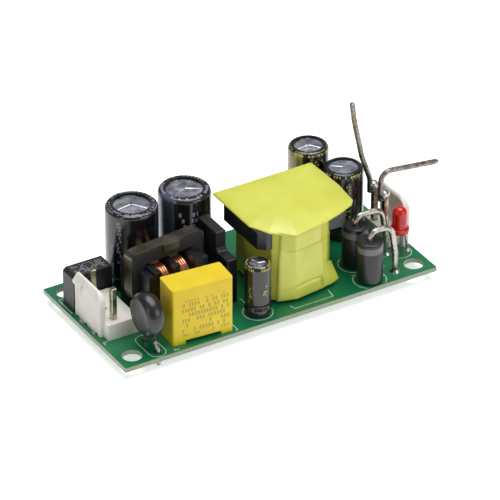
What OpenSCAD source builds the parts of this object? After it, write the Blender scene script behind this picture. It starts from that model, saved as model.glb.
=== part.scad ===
// Open frame power supply: one board, mains input on the left, low voltage output on the right.
// Board coordinates inside the modules: x along the board from the input end, y from the front
// edge to the back edge, z up from the component side. place() moves them to the part's own
// frame, whose origin is the centre of the four-hole pattern on the underside.

/* [Board] */
// Board length, input end to output end
board_l = 70.3; // [70:0.1:74]
// Board width, front edge to back edge
board_w = 32.5; // [32.3:0.1:35]
// Board thickness
board_t = 1.0; // [0.8:0.1:1.6]
// Mounting hole diameter
hole_d = 4.0; // [3.2:0.1:4.2]
// Mounting hole centre to both board edges
hole_inset = 3.3; // [3.0:0.1:3.4]
// Length of trimmed leads below the board
lead_tip = 1.7; // [1.65:0.05:2.4]
// Height of a solder cone below the board
cone_h = 1.0; // [0.7:0.1:1.3]

/* [Input header] */
// Distance between the two input pins
hin_pitch = 7.92; // [7.5:0.02:7.92]
// Side of the square header pins
pin_w = 1.14; // [1.0:0.02:1.2]
// Input pin tip above the board
hin_pin_h = 10.3; // [9.6:0.1:11]
// Height of the header base
head_base_h = 3.5; // [3:0.1:4]
// Height of the input locking wall
hin_wall_h = 9.4; // [9.2:0.1:10]
// Thickness of a locking wall at its foot
wall_t = 1.3; // [1.1:0.1:1.5]

/* [Fuse] */
// Fuse body length along the board
fuse_l = 8.5; // [8:0.1:9]
// Fuse body width
fuse_w = 4.3; // [4:0.1:4.4]
// Fuse body height with its feet
fuse_h = 8.0; // [7:0.1:9]

/* [Thermistor] */
// Disc diameter
ntc_d = 9.0; // [8:0.1:9]
// Disc thickness
ntc_t = 3.9; // [3.4:0.1:4]
// Lead spacing
ntc_pitch = 5.0; // [4.8:0.1:5.2]

/* [Line capacitor] */
// Case length
xcap_l = 12.8; // [12.4:0.1:13]
// Case width
xcap_w = 6.0; // [5.4:0.1:6.2]
// Case height
xcap_h = 12.3; // [11:0.1:13]
// Turn of the case in plan, degrees
xcap_turn = -4.7; // [-5.5:0.1:-3.5]

/* [Choke] */
// Core frame length
choke_l = 16.4; // [16:0.1:16.6]
// Core frame height
choke_frame_h = 9.7; // [9.5:0.1:10]
// Core leg side
core_t = 2.7; // [2.5:0.1:2.8]
// Height of the core frame's underside above the board
choke_lift = 4.6; // [4.5:0.1:4.8]
// Diameter of one winding
wind_d = 8.9; // [8.2:0.1:9]
// Turns in each winding
wind_turns = 5; // [4:1:5]
// Steel clip thickness
clip_t = 0.35; // [0.25:0.05:0.5]
// Turn of the choke in plan, degrees
choke_turn = 5.6; // [4.8:0.1:6]

/* [Bulk capacitors] */
// Bulk capacitor diameter over the sleeve
bulk_d = 10.5; // [10:0.1:10.6]
// Bulk capacitor height
bulk_h = 17.4; // [16:0.1:20]
// Lead spacing of the bulk capacitors
bulk_pitch = 5.0; // [4.8:0.1:5.2]

/* [Heat sink] */
// Plate thickness
sink_t = 2.3; // [1.8:0.1:2.4]
// Plate height
sink_h = 14.0; // [12:0.1:15]
// Height of the low front shoulder
sink_step_h = 9.8; // [9:0.1:11]

/* [Transformer] */
// Core width across the board's length
tr_w = 20.2; // [19.6:0.1:20.4]
// Core depth, front to back
tr_d = 15.0; // [14.4:0.1:15]
// Core thickness
tr_core_t = 3.8; // [3.2:0.1:4.2]
// Height of the core's top face above the board
tr_top = 16.0; // [15.4:0.1:16.6]
// Rise of the wrapping over the winding
tr_hump = 1.4; // [0.8:0.1:1.8]
// Bobbin rail height
tr_rail_h = 0.8; // [0.6:0.1:1.2]

/* [Output capacitors] */
// Output capacitor diameter over the sleeve
outc_d = 8.15; // [7.8:0.05:8.2]
// Back output capacitor height
outc_back_h = 17.6; // [17:0.1:20]
// Front output capacitor height
outc_front_h = 15.4; // [12:0.1:16]
// Lead spacing of the output capacitors
outc_pitch = 3.5; // [3.3:0.1:3.8]

/* [Small capacitor] */
// Small capacitor diameter over the sleeve
small_d = 5.3; // [5:0.1:5.5]
// Small capacitor height
small_h = 11.5; // [10:0.1:12]

/* [Diodes] */
// Rectifier body diameter
diode_d = 5.25; // [4.8:0.05:5.4]
// Rectifier body length
diode_l = 9.15; // [8.6:0.05:9.5]
// Rectifier lead diameter
diode_lead = 1.2; // [1.1:0.05:1.25]

/* [Output header] */
// Distance between the output pins
hout_pitch = 3.96; // [3.9:0.02:4]
// Output pin tip above the board
hout_pin_h = 11.3; // [10.8:0.1:11.6]
// Height of the output locking wall
hout_wall_h = 10.4; // [10:0.1:11]
// Solder bead diameter on an output pin
bead_d = 2.5; // [2.3:0.1:2.6]
// Output wire diameter
wire_d = 1.1; // [0.9:0.05:1.2]

/* [Indicator] */
// Lens diameter
led_d = 3.0; // [2.8:0.1:3.2]
// Lens length with its rim
led_l = 5.6; // [5:0.1:6]
// Height of the lens rim above the board
led_lift = 4.9; // [3:0.1:6]

/* [Underside] */
// Bridge rectifier body length
mb_l = 4.9; // [4.6:0.1:5.2]
// Controller body length
ic_l = 4.9; // [4.7:0.1:5.2]

/* [Hidden] */
$fn = 48;
gap = 0.02;            // all round a lead or pin where it passes through another solid
drill = 0.15;          // all round a lead in its board hole
thin_lead = 0.6;       // lead diameter of the small parts
pin_d = 0.7;           // pin diameter of the wound parts

// ---- plan positions, board coordinates
hin_x = 4.07;   hin_y = 15.75;
hout_x = board_l - 4.1; hout_y = 14.7;
hout_out = 3.85;                                    // pin line to the outer face, output header
fuse_x = 1.1;   fuse_y = 22.05;
ntc_at = [8.1, 4.05];
ntc_c = [7.75, 4.95, 7.0];
xcap_at = [18.15, 4.35];
choke_at = [17.75, 15.85];
bulk_a = [16.75, 26.75];
bulk_b = [28.55, 26.65];
sink_at = [28.0, 9.35];
sink_end = 20.8;
sink_step_y = 13.7;
tr_c = [43.2, 13.05];
small_at = [31.7, 4.05];
outc_back = [57.7, 28.0];
outc_front = [61.2, 20.45];
diode_f = [56.5, 2.85];   diode_f_pad = [62.45, 3.0];
diode_b = [57.0, 9.2];    diode_b_pad = [64.3, 9.35];
led_at = [board_l - 3.45, 8.35];
led_pad_x = board_l - 2.9;
mb_at = [17.6, 16];
ic_at = [34, 19];

// ---- leads: [x, y, diameter]
fuse_leads_at = [for (s = [-1, 1]) [fuse_x + fuse_l/2 + s*2.54, fuse_y + fuse_w/2, thin_lead]];
ntc_leads_at = [for (s = [-1, 1]) [ntc_at[0], ntc_at[1] + s*ntc_pitch/2, 0.8]];
xcap_leads_at = [for (s = [-1, 1]) [xcap_at[0] + 5*s*cos(xcap_turn), xcap_at[1] + 5*s*sin(xcap_turn),
  thin_lead]];
choke_pin_x = choke_l/2 - 1.95;
choke_pin_y = 3.7;
choke_pins_at = [for (s = [-1, 1], t = [-1, 1]) [
  choke_at[0] + s*choke_pin_x*cos(choke_turn) - t*choke_pin_y*sin(choke_turn),
  choke_at[1] + s*choke_pin_x*sin(choke_turn) + t*choke_pin_y*cos(choke_turn), pin_d]];
function pair(c, p, d, a) = [for (s = [-1, 1]) [c[0] + s*p/2*cos(a), c[1] + s*p/2*sin(a), d]];
bulk_leads_at = concat(pair(bulk_a, bulk_pitch, thin_lead, 0), pair(bulk_b, bulk_pitch, thin_lead, 0));
outc_leads_at = concat(pair(outc_back, outc_pitch, thin_lead, 0), pair(outc_front, outc_pitch,
  thin_lead, 60));
small_leads_at = pair(small_at, 2.0, 0.5, 0);
tr_pins_at = concat([for (i = [0:3]) [tr_c[0] - 4.5 + 3*i, tr_c[1] - 6.6, pin_d]],
  [for (i = [0:3]) [tr_c[0] - 4.5 + 3*i, tr_c[1] + 6.6, pin_d]]);
diode_leads_at = [for (p = [diode_f, diode_f_pad, diode_b, diode_b_pad]) [p[0], p[1], diode_lead]];
led_leads_at = [for (s = [-1, 1]) [led_pad_x + s*1.27, led_at[1], 0.5]];
round_leads = concat(fuse_leads_at, ntc_leads_at, xcap_leads_at, choke_pins_at, bulk_leads_at,
  outc_leads_at, small_leads_at, tr_pins_at, diode_leads_at, led_leads_at);
hin_pins_at = [for (s = [-1, 1]) [hin_x, hin_y + s*hin_pitch/2, pin_w]];
hout_pins_at = [for (s = [-1, 1]) [hout_x, hout_y + s*hout_pitch/2, pin_w]];
sink_tabs_at = [[sink_at[0] + sink_t/2, 11.2, 1.2], [sink_at[0] + sink_t/2, 18.8, 1.2]];
square_leads = concat(hin_pins_at, hout_pins_at, sink_tabs_at);
// solder also shows on the component side at these pads
top_fillets = concat([diode_leads_at[1], diode_leads_at[3]], led_leads_at);

// ---- helpers
module place() translate([-board_l/2, -board_w/2, board_t]) children();

// round wire swept along a route in a vertical plane: points [across, up], with one bend radius
// for each inner point. ring() gives [across, up, heading] at every cross-section of the route.
function unit(v) = v/norm(v);
function heading(v) = atan2(v[1], v[0]);
function bend_rings(p, u, v, r) = let (w = atan2(u[0]*v[1] - u[1]*v[0], u*v), s = sign(w),
    c = p - u*r*tan(abs(w)/2) + s*r*[-u[1], u[0]], m = ceil(abs(w)/15))
  [for (k = [0:m]) let (h = heading(u) + w*k/m) [c[0] + s*r*sin(h), c[1] - s*r*cos(h), h]];
function rings(pts, rs) = let (n = len(pts) - 1, u = [for (i = [0:n - 1]) unit(pts[i + 1] - pts[i])])
  concat([[pts[0][0], pts[0][1], heading(u[0])]],
    [for (i = [1:n - 1]) each bend_rings(pts[i], u[i - 1], u[i], rs[i - 1])],
    [[pts[n][0], pts[n][1], heading(u[n - 1])]]);
module wire(pts, rs, d, sides = 12) {
  g = rings(pts, rs);
  n = len(g);
  polyhedron(
    points = [for (q = g, j = [0:sides - 1]) let (a = 360*(j + 0.5)/sides, r = d/2)
      [q[0] - r*cos(a)*sin(q[2]), r*sin(a), q[1] + r*cos(a)*cos(q[2])]],
    faces = concat([[for (j = [0:sides - 1]) j]],
      [for (i = [0:n - 2], j = [0:sides - 1]) let (k = (j + 1)%sides)
        [i*sides + j, (i + 1)*sides + j, (i + 1)*sides + k, i*sides + k]],
      [[for (j = [0:sides - 1]) n*sides - 1 - j]]));
}

// straight leads from their trimmed tips up to height z
module straight(list, z) for (p = list)
  translate([p[0], p[1], -board_t - lead_tip]) cylinder(h = board_t + lead_tip + z, d = p[2]);

module straight_bore(list, z0, z1) for (p = list)
  translate([p[0], p[1], z0]) cylinder(h = z1 - z0, d = p[2] + 2*gap);

module square_bar(p, w, z0, z1) translate([p[0] - w/2, p[1] - w/2, z0]) cube([w, w, z1 - z0]);

// half outline of a rolled-groove can: r, h outside the sleeve, moved in by o
module can_half(r, h, o) difference() {
  rc = 0.9;
  union() {
    square([r - rc, h - o]);
    square([r - o, h - rc]);
    translate([r - rc, h - rc]) circle(r = rc - o, $fn = 24);
  }
  translate([r + 0.55, 2.3]) circle(r = 0.9 + o, $fn = 24);
}

sleeve_t = 0.25;
module can_sleeve(r, h, lip) rotate_extrude($fn = 64) difference() {
  can_half(r, h, 0);
  difference() { can_half(r, h, sleeve_t); translate([0, -1]) square([r, 1]); }
  translate([0, h - sleeve_t - 0.1]) square([lip, 1]);
}

// aluminium can inside the sleeve, with a three-way vent score in its top
module can_body(r, h, d_score) difference() {
  rotate_extrude($fn = 64) difference() {
    can_half(r, h, sleeve_t + gap);
    square([2*r, 0.4]);
  }
  for (a = [90, 210, 330]) rotate(a) translate([-0.15, -0.15, h - sleeve_t - gap - 0.15])
    cube([0.3, d_score + 0.15, 1]);
}

// ---- board and solder
module pcb() color("#1f7a3f") place() difference() {
  translate([0, 0, -board_t]) cube([board_l, board_w, board_t]);
  for (x = [hole_inset, board_l - hole_inset], y = [hole_inset, board_w - hole_inset])
    translate([x, y, -board_t - 1]) cylinder(h = board_t + 2, d = hole_d);
  for (p = round_leads) translate([p[0], p[1], -board_t - 1])
    cylinder(h = board_t + 2, d = p[2] + 2*drill, $fn = 24);
  for (p = square_leads) translate([p[0], p[1], -board_t - 1])
    cylinder(h = board_t + 2, d = p[2]*1.42 + 2*drill, $fn = 24);
}

module solder_joints() color("#c9ccd0") place() {
  for (p = round_leads) translate([p[0], p[1], -board_t]) mirror([0, 0, 1]) difference() {
    cylinder(h = cone_h, r1 = p[2]/2 + 0.5, r2 = p[2]/2 + 0.15, $fn = 24);
    translate([0, 0, -1]) cylinder(h = cone_h + 2, d = p[2] + 2*gap, $fn = 24);
  }
  for (p = square_leads) translate([p[0], p[1], -board_t]) mirror([0, 0, 1]) difference() {
    cylinder(h = cone_h, r1 = p[2]*0.71 + 0.6, r2 = p[2]*0.71 + 0.15, $fn = 24);
    square_bar([0, 0], p[2] + 2*gap, -1, cone_h + 1);
  }
  for (p = top_fillets) translate([p[0], p[1], 0]) difference() {
    cylinder(h = 0.5, r1 = p[2]/2 + 0.45, r2 = p[2]/2 + 0.12, $fn = 24);
    translate([0, 0, -1]) cylinder(h = 3, d = p[2] + 2*gap, $fn = 24);
  }
}

// ---- fuse
module fuse_body() color("#1b1b1d") place() difference() {
  union() {
    translate([fuse_x, fuse_y + fuse_w, 0.4]) rotate([90, 0, 0]) linear_extrude(fuse_w)
      polygon([[0, 0], [fuse_l, 0], [fuse_l, fuse_h - 0.4], [0.6, fuse_h - 0.4], [0, fuse_h - 1.0]]);
    for (x = [fuse_x, fuse_x + fuse_l - 1]) translate([x, fuse_y, 0]) cube([1, fuse_w, 0.4]);
  }
  straight_bore(fuse_leads_at, -1, 2.5);
}
module fuse_leads() color("#c4c6c8") place() straight(fuse_leads_at, 2.4);

// ---- friction-lock headers: wall on the side facing the board end
// lx: sign of the wall side, out: pin line to outer face, y0/y1: wall ends from the centre
module header(c, s, out, front, half, y0, y1, wall_h, lip) translate([c[0], c[1], 0]) {
  translate([min(-s*front, s*(out - 0.75)), -half, 0])
    cube([front + out - 0.75, 2*half, head_base_h]);
  intersection() {
    translate([0, y1, 0]) rotate([90, 0, 0]) linear_extrude(y1 - y0)
      polygon([for (p = [[out, 0], [out - wall_t, 0], [out - wall_t, wall_h - 0.4],
        [out - wall_t + 0.25, wall_h], [out - 0.55, wall_h], [out, wall_h - 1.1]]) [s*p[0], p[1]]]);
    translate([-20, 0, 0]) rotate([90, 0, 90]) linear_extrude(40) {
      translate([y0, 0]) square([y1 - y0, wall_h - 2.4]);
      translate([y0 + 2.4, 0]) square([y1 - y0 - 2.4, wall_h]);
      translate([y0 + 2.4, wall_h - 2.4]) circle(r = 2.4);
    }
  }
  // locking lip on the outer face
  if (lip > 0) translate([0, y1, 0]) rotate([90, 0, 0]) linear_extrude(lip)
    polygon([for (p = [[out - 0.1, wall_h - 2.9], [out + 0.5, wall_h - 1.8], [out + 0.5, wall_h - 1.4],
      [out - 0.56, wall_h - 0.02], [out - 0.9, wall_h - 1.5]]) [s*p[0], p[1]]]);
}

module input_header() color("#e9e6df") place() difference() {
  header([hin_x, hin_y], -1, 3.03, 4.43, 5.95, -4.05, 5.75, hin_wall_h, 3);
  for (p = hin_pins_at) square_bar(p, pin_w + 2*gap, -1, head_base_h + 1);
  // empty middle position
  square_bar([hin_x, hin_y], 1.3, head_base_h - 2, head_base_h + 1);
  // relief notches under the wall
  for (y = [-3, 1, 4.2]) translate([hin_x - 4, hin_y + y, -0.01]) cube([1.6, 0.9, 0.36]);
}
module input_pins() color("#c8b98a") place() for (p = hin_pins_at)
  square_bar(p, pin_w, -board_t - lead_tip, hin_pin_h);

module output_header() color("#e9e6df") place() difference() {
  header([hout_x, hout_y], 1, hout_out, 1.0, 3.95, -4.9, 3.95, hout_wall_h, 0);
  for (p = hout_pins_at) square_bar(p, pin_w + 2*gap, -1, head_base_h + 1);
}
module output_pins() color("#c9ccd0") place() for (p = hout_pins_at)
  square_bar(p, pin_w, -board_t - lead_tip, hout_pin_h);

// ---- thermistor: disc standing across the header, leaning a little
module ntc_disc_shape() translate(ntc_c) rotate([0, 90, 0]) translate([0, 0, -ntc_t/2])
  rotate_extrude($fn = 64) {
    square([ntc_d/2 - 1.2, ntc_t]);
    translate([0, 1.2]) square([ntc_d/2, ntc_t - 2.4]);
    for (z = [1.2, ntc_t - 1.2]) translate([ntc_d/2 - 1.2, z]) circle(r = 1.2, $fn = 24);
  }
ntc_end = [[0.1, 3.4], [1.7, 3.5]];                 // where the leads end inside the disc, across and up
ntc_knee = [[-ntc_pitch/2, 0.6], [ntc_pitch/2, 1.0]];
module at_ntc() translate([ntc_at[0], ntc_at[1], 0]) rotate(90) children();
module thermistor() color("#1d2026") place() difference() {
  ntc_disc_shape();
  for (i = [0, 1]) let (v = ntc_end[i] - ntc_knee[i]) at_ntc()
    translate([ntc_knee[i][0], 0, ntc_knee[i][1]]) rotate([0, 90 - heading(v), 0])
      cylinder(h = norm(v) + gap, d = 0.8 + 2*gap, $fn = 24);
}
module thermistor_leads() color("#c4c6c8") place() at_ntc() for (i = [0, 1])
  wire([[ntc_knee[i][0], -board_t - lead_tip], ntc_knee[i], ntc_end[i]], [0.8], 0.8);

// ---- line capacitor
module line_capacitor() color("#e2c52a") place() difference() {
  translate([xcap_at[0], xcap_at[1], 0]) rotate(xcap_turn) difference() {
    linear_extrude(xcap_h) {
      square([xcap_l - 1, xcap_w], center = true);
      square([xcap_l, xcap_w - 1], center = true);
      for (x = [-1, 1], y = [-1, 1]) translate([x*(xcap_l/2 - 0.5), y*(xcap_w/2 - 0.5)])
        circle(r = 0.5, $fn = 24);
    }
    translate([-xcap_l/2 + 2.7, -xcap_w, -1]) cube([xcap_l - 5.2, 2*xcap_w, 1.7]);
  }
  straight_bore(xcap_leads_at, -1, 3.1);
}
module line_capacitor_leads() color("#c4c6c8") place() straight(xcap_leads_at, 3);

// ---- common mode choke: closed core frame on edge, bobbin on its lower leg, steel clip over it
module at_choke() translate([choke_at[0], choke_at[1], 0]) rotate(choke_turn) children();
module frame_outline(g) {
  x = choke_l/2 + g;
  z0 = choke_lift - g;
  z1 = choke_lift + choke_frame_h + g;
  r = 1 + g;
  translate([-x, z0]) square([2*x, z1 - z0 - r]);
  translate([-x + r, z0]) square([2*x - 2*r, z1 - z0]);
  for (s = [-1, 1]) translate([s*(x - r), z1 - r]) circle(r = r, $fn = 24);
}
module upright(t) translate([0, t/2, 0]) rotate([90, 0, 0]) linear_extrude(t) children();
module choke_core() color("#202124") place() at_choke() difference() {
  upright(core_t) frame_outline(0);
  translate([-choke_l/2 + core_t, -core_t, choke_lift + core_t])
    cube([choke_l - 2*core_t, 2*core_t, choke_frame_h - 2*core_t]);
}
module choke_clip() color("#9a9c9e") place() at_choke() {
  upright(core_t - 0.1) difference() {
    frame_outline(clip_t + gap);
    frame_outline(gap);
    translate([-choke_l, -1]) square([2*choke_l, choke_lift + 2.2]);
  }
  // tongue bent down over the front of the core
  translate([-1.4, -core_t/2 - clip_t - gap, choke_lift + choke_frame_h - 1.4])
    cube([3.8, clip_t, 1.4 + gap + clip_t]);
  translate([-1.4, -core_t/2 - clip_t - gap, choke_lift + choke_frame_h + gap])
    cube([3.8, clip_t + 0.5, clip_t]);
}
leg_z = choke_lift + core_t/2;                      // height of the lower leg's centre
bob_x = choke_l/2 - core_t - gap;                   // bobbin half length inside the window
cheek_t = 1.5;
half_rib = 0.5;                                     // half the rib between the windings
tube = core_t + 1.2;
cheek_top = choke_lift + choke_frame_h - core_t - 0.35;
module choke_bobbin() color("#15161a") place() difference() {
  at_choke() difference() {
    union() {
      translate([-bob_x, -tube/2, leg_z - tube/2]) cube([2*bob_x, tube, tube]);
      for (s = [-1, 1]) translate([s*(bob_x - cheek_t/2) - cheek_t/2, -4.8, 0])
        cube([cheek_t, 9.6, cheek_top]);
      translate([-half_rib, -4.6, 1.2]) cube([2*half_rib, 9.2, cheek_top - 1.3]);
      // end blocks beside the core legs, carrying the pins
      for (s = [-1, 1], t = [-1, 1]) translate([s*(bob_x + 0.75) - 0.76, t*3.2 - 1.6, 0])
        cube([1.52, 3.2, cheek_top - 0.5]);
    }
    translate([-choke_l/2 - 0.01, -core_t/2 - gap, leg_z - core_t/2 - gap])
      cube([choke_l + 0.02, core_t + 2*gap, core_t + 2*gap]);
  }
  straight_bore(choke_pins_at, -1, 2.1);
}
turn_w = (bob_x - cheek_t - half_rib - 0.28)/wind_turns;
wind_wire = turn_w - 0.04;
module choke_windings() color("#c4703a") place() at_choke() for (s = [-1, 1])
  translate([s*(half_rib + bob_x - cheek_t)/2, 0, leg_z]) difference() {
    rotate([0, 90, 0]) translate([0, 0, -turn_w*wind_turns/2]) rotate_extrude($fn = 64) {
      square([wind_d/2 - wind_wire/2, turn_w*wind_turns]);
      for (i = [0:wind_turns - 1]) translate([wind_d/2 - wind_wire/2, turn_w*(i + 0.5)])
        circle(d = wind_wire, $fn = 20);
    }
    translate([-5, -tube/2 - gap, -tube/2 - gap]) cube([10, tube + 2*gap, tube + 2*gap]);
  }
module choke_pins() color("#c4c6c8") place() straight(choke_pins_at, 2);

// ---- bulk capacitors
module at_can(c) translate([c[0], c[1], 0]) children();
module bulk_a_sleeve() color("#141518") place() at_can(bulk_a) can_sleeve(bulk_d/2, bulk_h, 3.7);
module bulk_b_sleeve() color("#141518") place() at_can(bulk_b) can_sleeve(bulk_d/2, bulk_h, 3.7);
module lead_room(list) difference() { children(); straight_bore(list, -1, 1.6); }
module bulk_a_can() color("#b9bcc2") place() lead_room(bulk_leads_at)
  at_can(bulk_a) can_body(bulk_d/2, bulk_h, 3.2);
module bulk_b_can() color("#b9bcc2") place() lead_room(bulk_leads_at)
  at_can(bulk_b) can_body(bulk_d/2, bulk_h, 3.2);
module bulk_leads() color("#c4c6c8") place() straight(bulk_leads_at, 1.5);

// ---- heat sink plate with a low front shoulder and two tabs through the board
module sink_plate() color("#17181a") place() {
  translate([sink_at[0], 0, 0]) rotate([90, 0, 90]) linear_extrude(sink_t)
    polygon([[sink_at[1], 0], [sink_end, 0], [sink_end, sink_h], [sink_step_y, sink_h],
      [sink_step_y, sink_step_h + 0.6], [sink_step_y - 0.6, sink_step_h], [sink_at[1], sink_step_h]]);
  for (p = sink_tabs_at) square_bar(p, p[2], -board_t - lead_tip, 0.5);
}

// ---- transformer
tw = tr_w/2;
td = tr_d/2;
core_z = tr_top - tr_core_t;
win_x = 2.9;                                        // outer leg width of the core
win_w = 4.3;                                        // window width
module at_tr() translate([tr_c[0], tr_c[1], 0]) children();
module window(g) for (s = [-1, 1]) translate([s*(tw - win_x - win_w/2), 0])
  square([win_w - 2*g, tr_d - 7 - 2*g], center = true);
module transformer_core() color("#101113") place() at_tr() translate([0, 0, core_z])
  linear_extrude(tr_core_t) difference() {
    polygon([[-tw, -td + 1.3], [-tw + 1.5, -td], [tw - 1.5, -td], [tw, -td + 1.3],
      [tw, td - 1.2], [tw - 1.3, td], [-tw + 1.3, td], [-tw, td - 1.2]]);
    window(0);
  }
wy = -td - 1.1;                                     // front face of the winding pack
module transformer_winding() color("#8d8f2c") place() difference() {
  at_tr() {
    translate([0, 0, tr_rail_h]) linear_extrude(core_z - tr_rail_h)
      polygon([[-7.6, wy + 1], [-6.6, wy], [3.6, wy], [6.0, wy + 2.2], [7.6, wy + 4.2],
        [7.6, 5.6], [6, 7.4], [-6.2, 7.4], [-7.6, 5.8]]);
    translate([0, 0, core_z - 0.5]) linear_extrude(tr_core_t + 0.5) window(0.05);
    translate([0, 0, core_z - 0.5]) linear_extrude(tr_core_t + 0.5)
      polygon([[-7.4, -td - gap], [-6.6, wy], [4.2, wy], [5.4, -td - gap]]);
  }
  straight_bore(tr_pins_at, -1, tr_rail_h + 1.6);
}
module transformer_rails() color("#15161a") place() difference() {
  at_tr() for (s = [-1, 1]) translate([-6.4, s*6.45 - 1, 0]) cube([12.6, 2, tr_rail_h]);
  straight_bore(tr_pins_at, -1, tr_rail_h + 1);
}
module transformer_pins() color("#c4c6c8") place() straight(tr_pins_at, tr_rail_h + 1.5);

// tape sheet over the top: flat rim, raised over the winding
sheet = [[-10.2, 10.5], [12.7, 10.6], [12.9, 0.8], [12.2, -5.4], [11.1, -6.8], [7.4, -8.4],
  [1.9, -10.2], [-4.3, -11.4], [-8.2, -7.5], [-10.2, -3.4]];
hump = [[-6, 9.3], [6.3, 9.3], [7.2, -5], [1.6, -7.4], [-3.6, -7.6], [-6.4, -4.5]];
module transformer_top_tape() color("#d9df4e") place() at_tr() hull() {
  translate([0, 0, tr_top + gap]) linear_extrude(0.25) polygon(sheet);
  translate([0, 0, tr_top + tr_hump - 0.1]) linear_extrude(0.1) polygon(hump);
}
// tape folded down over the front, with a loose corner at its foot
module transformer_front_tape() color("#c3c748") place() at_tr() {
  hull() {
    translate([0, 0, tr_top - 0.1]) linear_extrude(0.1)
      polygon([[-6.55, wy - gap], [-4.2, -11.3], [1.9, -10.1], [4.6, wy - gap]]);
    translate([0, 0, tr_rail_h + 8]) linear_extrude(0.1)
      polygon([[-6.8, wy - gap], [-3.4, -10.0], [2.6, -9.3], [4.5, wy - gap]]);
    translate([0, 0, tr_rail_h - 0.2]) linear_extrude(0.1)
      polygon([[-7.2, wy - gap], [-2.9, -9.7], [3.7, -8.9], [4.2, wy - gap]]);
  }
  hull() {
    translate([3.3, -8.97, 0.8]) cube([0.3, 0.12, 6]);
    translate([6.0, -7.35, 0.8]) cube([0.15, 0.12, 4.5]);
    translate([7.6, -7.9, 0.8]) cube([0.15, 0.15, 0.8]);
  }
}

// ---- small capacitor
module small_cap_sleeve() color("#2a2b30") place() at_can(small_at)
  can_sleeve(small_d/2, small_h, 1.75);
module small_cap_can() color("#b9bcc2") place() lead_room(small_leads_at)
  at_can(small_at) can_body(small_d/2, small_h, 1.4);
module small_cap_leads() color("#c4c6c8") place() straight(small_leads_at, 1.5);

// ---- output capacitors
module out_cap_back_sleeve() color("#141518") place() at_can(outc_back)
  can_sleeve(outc_d/2, outc_back_h, 2.95);
module out_cap_back_can() color("#b9bcc2") place() lead_room(outc_leads_at)
  at_can(outc_back) can_body(outc_d/2, outc_back_h, 2.5);
module out_cap_front_sleeve() color("#141518") place() at_can(outc_front)
  can_sleeve(outc_d/2, outc_front_h, 2.95);
module out_cap_front_can() color("#b9bcc2") place() lead_room(outc_leads_at)
  at_can(outc_front) can_body(outc_d/2, outc_front_h, 2.5);
module out_cap_leads() color("#c4c6c8") place() straight(outc_leads_at, 1.5);

// ---- axial rectifiers standing on end
module diode_body(c) translate([c[0], c[1], 0]) rotate_extrude($fn = 64) {
  translate([diode_lead/2 + gap, 0]) square([diode_d/2 - 0.4 - diode_lead/2 - gap, diode_l]);
  translate([diode_lead/2 + gap, 0.4]) square([diode_d/2 - diode_lead/2 - gap, diode_l - 0.8]);
  for (z = [0.4, diode_l - 0.4]) translate([diode_d/2 - 0.4, z]) circle(r = 0.4, $fn = 20);
}
// lead: up through the body, over in a loop and down to its own pad
module loop(c, pad) {
  l = norm(pad - c);
  z0 = -board_t - lead_tip;
  translate([c[0], c[1], 0]) rotate(atan2(pad[1] - c[1], pad[0] - c[0]))
    wire([[0, z0], [0, diode_l + 1.75], [l - 1.1, diode_l + 1.55], [l, 4], [l, z0]],
      [1.45, 2.4, 2], diode_lead);
}
module diode_front_body() color("#1b1c20") place() diode_body(diode_f);
module diode_back_body() color("#1b1c20") place() diode_body(diode_b);
module diode_front_lead() color("#c4c6c8") place() loop(diode_f, diode_f_pad);
module diode_back_lead() color("#c4c6c8") place() loop(diode_b, diode_b_pad);

// ---- output wires and the solder beads that hold them on the pins
wire_x = hout_x - pin_w/2 - wire_d/2 - gap;         // wires lie against the inner side of the pins
wire_z = hout_pin_h - 1.1;
module output_wire_left() color("#8f857b") place() translate([wire_x, hout_y + hout_pitch/2, 0])
  wire([[0, wire_z], [0, wire_z + 3.0], [-2.0, 18.9], [-3.85, 27.5], [-4.45, 31.8]], [5, 12, 12], wire_d);
module output_wire_right() color("#8f857b") place() translate([wire_x, hout_y - hout_pitch/2, 0])
  wire([[0, wire_z], [0, 16.75], [13.3, 15.2]], [2.1], wire_d);
module solder_beads() color("#c9ccd0") place() for (p = hout_pins_at) difference() {
  translate([p[0] - 0.35, p[1], hout_pin_h]) sphere(d = bead_d);
  square_bar(p, pin_w + 2*gap, 5, hout_pin_h + gap);
  translate([wire_x, p[1], wire_z - 2]) cylinder(h = 5, d = wire_d + 2*gap);
}

// ---- indicator lamp
module led_wire(s) translate([0, led_at[1], 0]) wire([[led_pad_x + s*1.27, -board_t - lead_tip],
  [led_pad_x + s*1.27, 1.2], [led_at[0] + s*1.27, led_lift - 0.7], [led_at[0] + s*1.27, led_lift + 1.2]],
  [1.5, 1.5], 0.5, 8);
module led_lens() color("#c4161c") place() difference() {
  translate([led_at[0], led_at[1], led_lift]) rotate_extrude($fn = 64) {
    square([led_d/2 + 0.42, 1]);
    square([led_d/2, led_l - led_d/2]);
    intersection() {
      translate([0, led_l - led_d/2]) circle(d = led_d, $fn = 48);
      square([led_d, 2*led_l]);
    }
  }
  for (s = [-1, 1]) translate([led_at[0] + s*1.27, led_at[1], led_lift - 1])
    cylinder(h = 2.3, d = 0.5 + 2*gap);
}
module led_leads() color("#c4c6c8") place() for (s = [-1, 1]) led_wire(s);

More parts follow.
